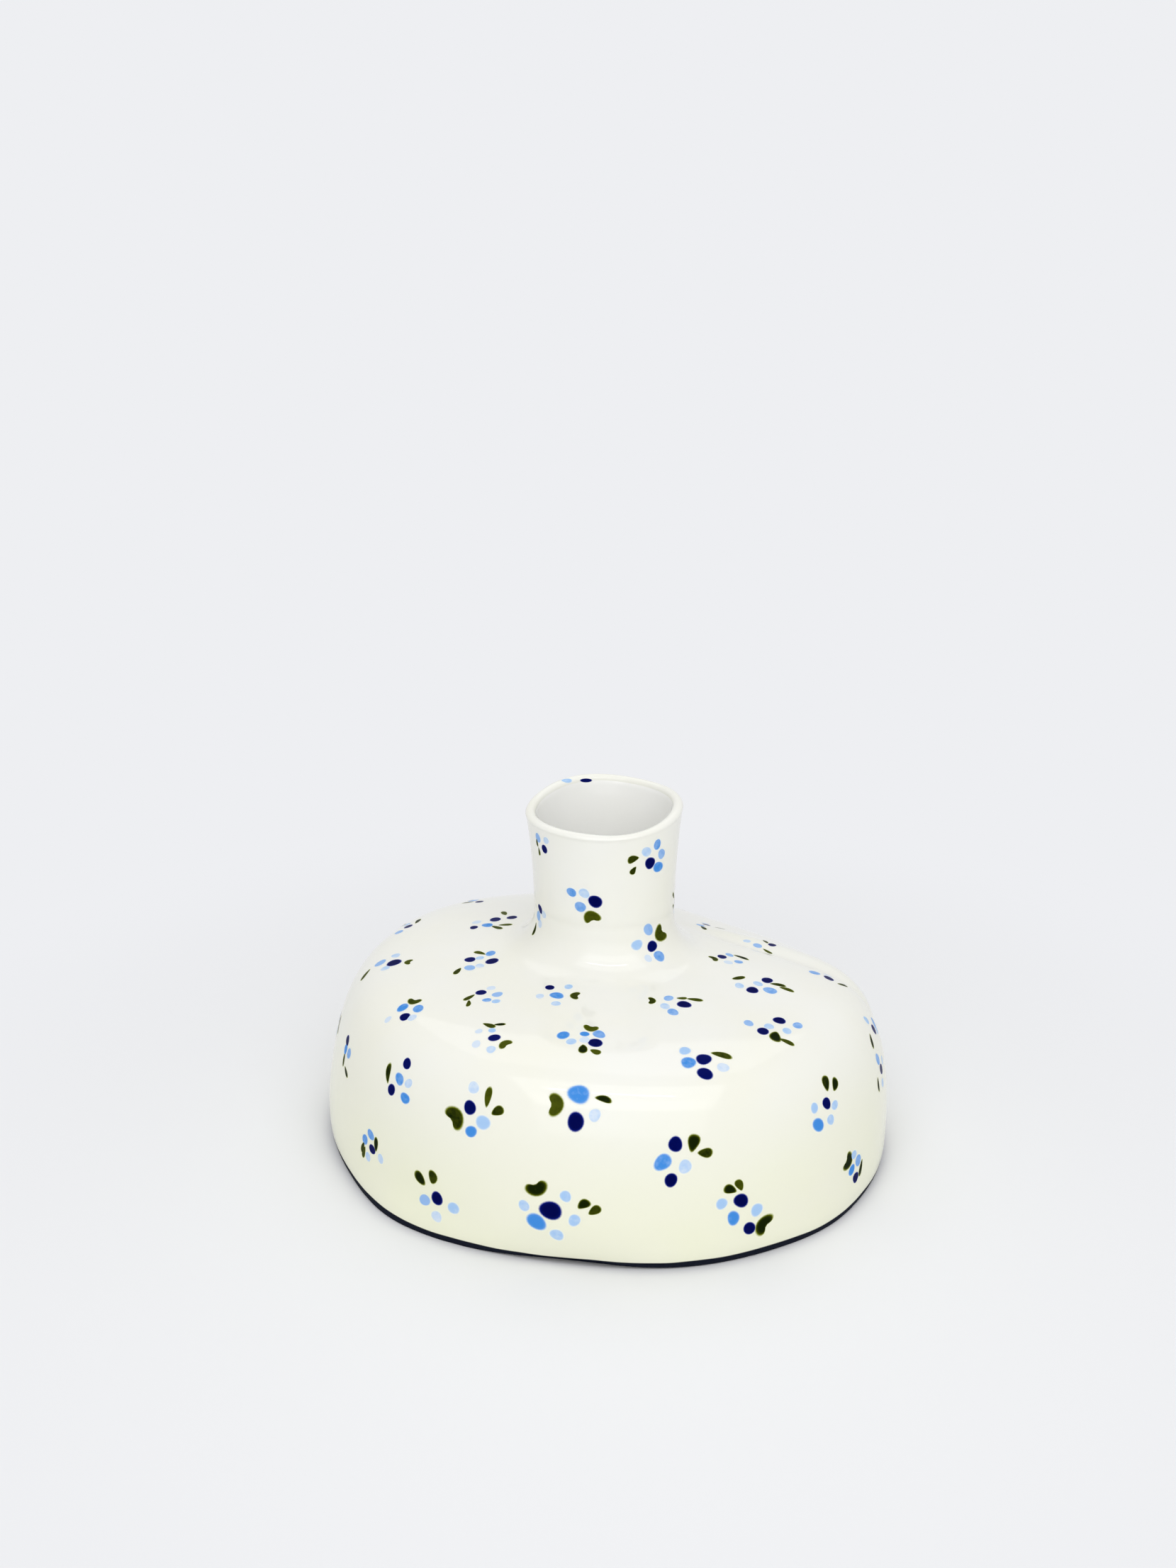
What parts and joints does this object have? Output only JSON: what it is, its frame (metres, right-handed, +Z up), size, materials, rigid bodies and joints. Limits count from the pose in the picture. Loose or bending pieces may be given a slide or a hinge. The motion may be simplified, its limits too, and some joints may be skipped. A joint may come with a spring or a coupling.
{
  "type": "pillow vase",
  "caption": "Squat hollow ceramic vase, puffed like a cushion, with a short flared neck and a glossy cream glaze dotted with small flower sprigs.",
  "frame": {"origin": "on the table, under the middle of the body", "axes": "+Z up, the front faces -Y, +X to the right of someone who looks at the front"},
  "size_m": [0.2002, 0.1842, 0.1225],
  "materials": {
    "glazed_floor": "bare pale clay underneath, glossy cream glaze on the rounded edge",
    "glazed_body": "glossy cream glaze with small painted sprigs",
    "glazed_neck": "glossy cream glaze with small painted sprigs"
  },
  "bodies": {
    "root": {"base_slab": "glazed_floor", "front_shell": "glazed_body", "back_shell": "glazed_body", "neck_collar": "glazed_neck"}
  },
  "joints": []
}
